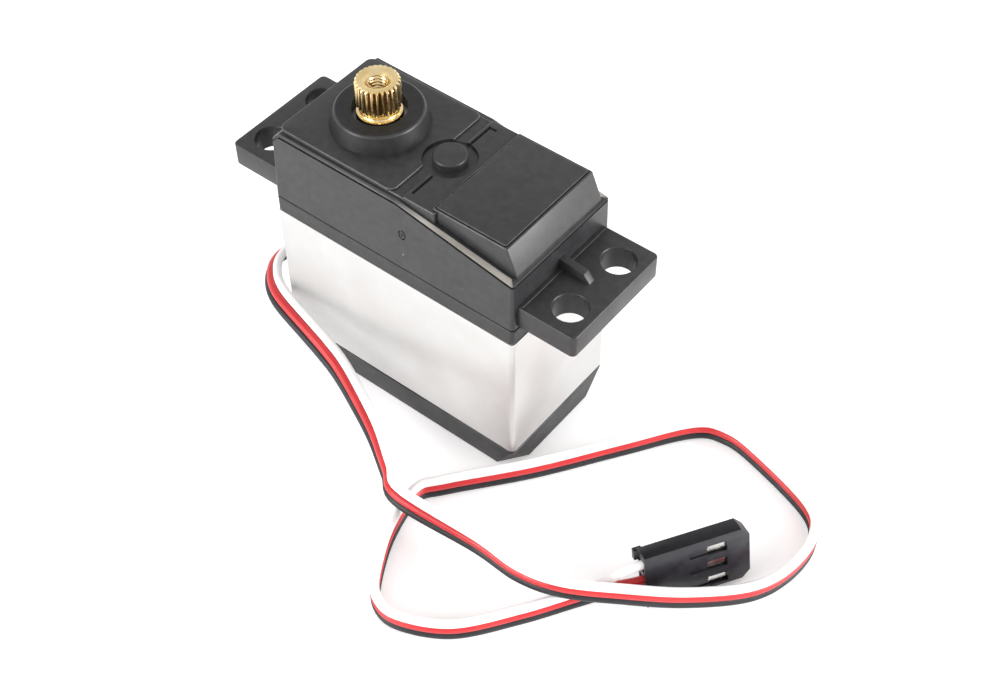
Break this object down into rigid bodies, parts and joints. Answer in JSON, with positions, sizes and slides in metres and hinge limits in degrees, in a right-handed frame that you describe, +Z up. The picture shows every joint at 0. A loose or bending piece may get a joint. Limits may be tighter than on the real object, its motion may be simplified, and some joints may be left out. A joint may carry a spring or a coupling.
{
  "type": "servo motor",
  "caption": "Compact geared servo motor with mounting ears, splined brass output shaft, metal middle case and a flat three-wire lead ending in a plug.",
  "frame": {"origin": "under the middle of the case, on the plane the case stands on", "axes": "+Z up along the output shaft, +X along the case away from the output shaft, +Y across the case"},
  "size_m": [0.0875, 0.0511, 0.0469],
  "materials": {
    "black_plastic": "moulded, satin",
    "deck_plastic": "moulded, matte",
    "silver_case": "bead-blasted and clear anodised, satin",
    "steel": "machined",
    "brass": "machined, bright",
    "bronze": "sintered bronze",
    "rubber": "matte",
    "magnet": "sintered ferrite",
    "copper": "copper alloy",
    "circuit_board": "glass-epoxy board with solder mask",
    "chip": "moulded package",
    "tinned_metal": "tin plated",
    "lead_wires": "soft insulation, red, black and white conductors side by side",
    "plug_plastic": "moulded, satin"
  },
  "bodies": {
    "case": {"upper_case": "black_plastic", "gear_deck": "deck_plastic", "middle_case": "silver_case", "bottom_cover": "black_plastic", "case_screw_1": "steel", "case_screw_2": "steel", "case_screw_3": "steel", "case_screw_4": "steel", "lead_grommet": "rubber", "lead_tail": "lead_wires", "sensor_wires": "lead_wires", "control_board": "circuit_board", "control_chip": "chip", "motor_driver_chip": "chip", "board_capacitor": "tinned_metal", "motor_can": "steel", "motor_end_cap": "black_plastic", "motor_magnet_1": "magnet", "motor_magnet_2": "magnet", "motor_terminal_1": "copper", "motor_terminal_2": "copper", "sensor_cup": "deck_plastic", "sensor_base": "deck_plastic", "centre_axle": "steel", "second_axle": "steel", "bearing_outer_ring": "steel", "output_bush": "bronze", "lead_ribbon": "lead_wires", "plug_housing": "plug_plastic", "plug_terminal_1": "tinned_metal", "plug_terminal_2": "tinned_metal", "plug_terminal_3": "tinned_metal"},
    "output": {"output_gear": "brass", "bearing_inner_ring": "steel", "sensor_shaft": "copper"},
    "bearing_cage": {"bearing_balls": "steel"},
    "first_gear": {"gear_1": "brass"},
    "second_gear": {"gear_2": "steel"},
    "third_gear": {"gear_3": "steel"},
    "rotor": {"motor_shaft": "steel", "motor_armature": "steel", "motor_pinion": "brass"}
  },
  "joints": [
    {"name": "motor_spin", "type": "hinge", "parent": "case", "child": "rotor", "pos_m": [0.01084, -0.00098, 0], "axis": [0, 0, 1], "range_deg": [-4303.1, 4303.1]},
    {"name": "first_gear_spin", "type": "hinge", "parent": "case", "child": "first_gear", "pos_m": [0.0022, 0, 0], "axis": [0, 0, 1], "range_deg": [-896.5, 896.5]},
    {"name": "second_gear_spin", "type": "hinge", "parent": "case", "child": "second_gear", "pos_m": [0.0112, 0.00191, 0], "axis": [0, 0, 1], "range_deg": [-478.2, 478.2]},
    {"name": "third_gear_spin", "type": "hinge", "parent": "case", "child": "third_gear", "pos_m": [0.0022, 0, 0], "axis": [0, 0, 1], "range_deg": [-168.8, 168.8]},
    {"name": "output_turn", "type": "hinge", "parent": "case", "child": "output", "pos_m": [-0.0093, 0, 0], "axis": [0, 0, 1], "range_deg": [-90, 90]},
    {"name": "cage_roll", "type": "hinge", "parent": "case", "child": "bearing_cage", "pos_m": [-0.0093, 0, 0], "axis": [0, 0, 1], "range_deg": [-40.6, 40.6]}
  ],
  "couplings": [
    {"joint": "first_gear_spin", "follows": "motor_spin", "ratio": -0.20833},
    {"joint": "second_gear_spin", "follows": "motor_spin", "ratio": 0.11111},
    {"joint": "third_gear_spin", "follows": "motor_spin", "ratio": -0.039216},
    {"joint": "output_turn", "follows": "motor_spin", "ratio": 0.020915},
    {"joint": "cage_roll", "follows": "motor_spin", "ratio": 0.0094118}
  ]
}
